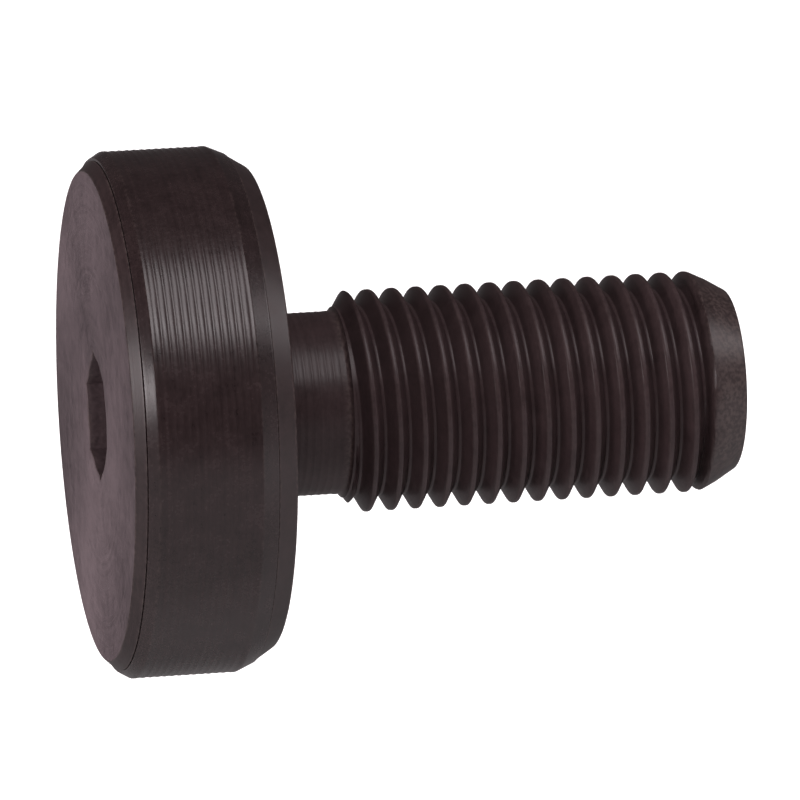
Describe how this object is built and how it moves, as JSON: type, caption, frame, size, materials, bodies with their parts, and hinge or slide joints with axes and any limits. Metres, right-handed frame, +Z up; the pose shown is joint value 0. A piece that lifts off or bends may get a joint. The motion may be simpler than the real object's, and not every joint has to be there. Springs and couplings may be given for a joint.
{
  "type": "cam follower",
  "caption": "Stud-type cam follower: a thin roller on caged needle rollers, closed by a flanged stud with a hexagon socket and a fine thread, and by a pressed rear plate.",
  "frame": {"origin": "centre of the roller's tread, on the axis of rotation", "axes": "+X along the stud towards its threaded end, +Z up, with the stud's axis level"},
  "size_m": [0.0273, 0.0222, 0.0222],
  "materials": {
    "black_steel": "black oxide over turned steel, satin, faintly warm",
    "black_steel_tread": "black oxide over a finely turned tread, satin",
    "bearing_steel": "ground bright steel",
    "cage_steel": "thin machined steel with a light straw tint",
    "washer_steel": "flat lapped steel"
  },
  "bodies": {
    "stud_body": {"stud": "black_steel", "rear_end_plate": "black_steel", "front_thrust_washer": "washer_steel", "rear_thrust_washer": "washer_steel"},
    "ring": {"outer_ring": "black_steel_tread"},
    "cage": {"needle_cage": "cage_steel"},
    "needle_01": {"needle_roller_01": "bearing_steel"},
    "needle_02": {"needle_roller_02": "bearing_steel"},
    "needle_03": {"needle_roller_03": "bearing_steel"},
    "needle_04": {"needle_roller_04": "bearing_steel"},
    "needle_05": {"needle_roller_05": "bearing_steel"},
    "needle_06": {"needle_roller_06": "bearing_steel"},
    "needle_07": {"needle_roller_07": "bearing_steel"},
    "needle_08": {"needle_roller_08": "bearing_steel"},
    "needle_09": {"needle_roller_09": "bearing_steel"},
    "needle_10": {"needle_roller_10": "bearing_steel"},
    "needle_11": {"needle_roller_11": "bearing_steel"},
    "needle_12": {"needle_roller_12": "bearing_steel"},
    "needle_13": {"needle_roller_13": "bearing_steel"},
    "needle_14": {"needle_roller_14": "bearing_steel"},
    "needle_15": {"needle_roller_15": "bearing_steel"},
    "needle_16": {"needle_roller_16": "bearing_steel"}
  },
  "joints": [
    {"name": "ring_spin", "type": "hinge", "parent": "stud_body", "child": "ring", "pos_m": [0, 0, 0], "axis": [1, 0, 0], "continuous": true},
    {"name": "cage_spin", "type": "hinge", "parent": "stud_body", "child": "cage", "pos_m": [0, 0, 0], "axis": [1, 0, 0], "continuous": true},
    {"name": "needle_01_spin", "type": "hinge", "parent": "cage", "child": "needle_01", "pos_m": [0, 0, 0.00678], "axis": [1, 0, 0], "continuous": true},
    {"name": "needle_02_spin", "type": "hinge", "parent": "cage", "child": "needle_02", "pos_m": [0, -0.00259, 0.00626], "axis": [1, 0, 0], "continuous": true},
    {"name": "needle_03_spin", "type": "hinge", "parent": "cage", "child": "needle_03", "pos_m": [0, -0.00479, 0.00479], "axis": [1, 0, 0], "continuous": true},
    {"name": "needle_04_spin", "type": "hinge", "parent": "cage", "child": "needle_04", "pos_m": [0, -0.00626, 0.00259], "axis": [1, 0, 0], "continuous": true},
    {"name": "needle_05_spin", "type": "hinge", "parent": "cage", "child": "needle_05", "pos_m": [0, -0.00678, 0], "axis": [1, 0, 0], "continuous": true},
    {"name": "needle_06_spin", "type": "hinge", "parent": "cage", "child": "needle_06", "pos_m": [0, -0.00626, -0.00259], "axis": [1, 0, 0], "continuous": true},
    {"name": "needle_07_spin", "type": "hinge", "parent": "cage", "child": "needle_07", "pos_m": [0, -0.00479, -0.00479], "axis": [1, 0, 0], "continuous": true},
    {"name": "needle_08_spin", "type": "hinge", "parent": "cage", "child": "needle_08", "pos_m": [0, -0.00259, -0.00626], "axis": [1, 0, 0], "continuous": true},
    {"name": "needle_09_spin", "type": "hinge", "parent": "cage", "child": "needle_09", "pos_m": [0, 0, -0.00678], "axis": [1, 0, 0], "continuous": true},
    {"name": "needle_10_spin", "type": "hinge", "parent": "cage", "child": "needle_10", "pos_m": [0, 0.00259, -0.00626], "axis": [1, 0, 0], "continuous": true},
    {"name": "needle_11_spin", "type": "hinge", "parent": "cage", "child": "needle_11", "pos_m": [0, 0.00479, -0.00479], "axis": [1, 0, 0], "continuous": true},
    {"name": "needle_12_spin", "type": "hinge", "parent": "cage", "child": "needle_12", "pos_m": [0, 0.00626, -0.00259], "axis": [1, 0, 0], "continuous": true},
    {"name": "needle_13_spin", "type": "hinge", "parent": "cage", "child": "needle_13", "pos_m": [0, 0.00678, 0], "axis": [1, 0, 0], "continuous": true},
    {"name": "needle_14_spin", "type": "hinge", "parent": "cage", "child": "needle_14", "pos_m": [0, 0.00626, 0.00259], "axis": [1, 0, 0], "continuous": true},
    {"name": "needle_15_spin", "type": "hinge", "parent": "cage", "child": "needle_15", "pos_m": [0, 0.00479, 0.00479], "axis": [1, 0, 0], "continuous": true},
    {"name": "needle_16_spin", "type": "hinge", "parent": "cage", "child": "needle_16", "pos_m": [0, 0.00259, 0.00626], "axis": [1, 0, 0], "continuous": true}
  ],
  "couplings": [
    {"joint": "cage_spin", "follows": "ring_spin", "ratio": 0.57375},
    {"joint": "needle_01_spin", "follows": "ring_spin", "ratio": 3.3163},
    {"joint": "needle_02_spin", "follows": "ring_spin", "ratio": 3.3163},
    {"joint": "needle_03_spin", "follows": "ring_spin", "ratio": 3.3163},
    {"joint": "needle_04_spin", "follows": "ring_spin", "ratio": 3.3163},
    {"joint": "needle_05_spin", "follows": "ring_spin", "ratio": 3.3163},
    {"joint": "needle_06_spin", "follows": "ring_spin", "ratio": 3.3163},
    {"joint": "needle_07_spin", "follows": "ring_spin", "ratio": 3.3163},
    {"joint": "needle_08_spin", "follows": "ring_spin", "ratio": 3.3163},
    {"joint": "needle_09_spin", "follows": "ring_spin", "ratio": 3.3163},
    {"joint": "needle_10_spin", "follows": "ring_spin", "ratio": 3.3163},
    {"joint": "needle_11_spin", "follows": "ring_spin", "ratio": 3.3163},
    {"joint": "needle_12_spin", "follows": "ring_spin", "ratio": 3.3163},
    {"joint": "needle_13_spin", "follows": "ring_spin", "ratio": 3.3163},
    {"joint": "needle_14_spin", "follows": "ring_spin", "ratio": 3.3163},
    {"joint": "needle_15_spin", "follows": "ring_spin", "ratio": 3.3163},
    {"joint": "needle_16_spin", "follows": "ring_spin", "ratio": 3.3163}
  ]
}
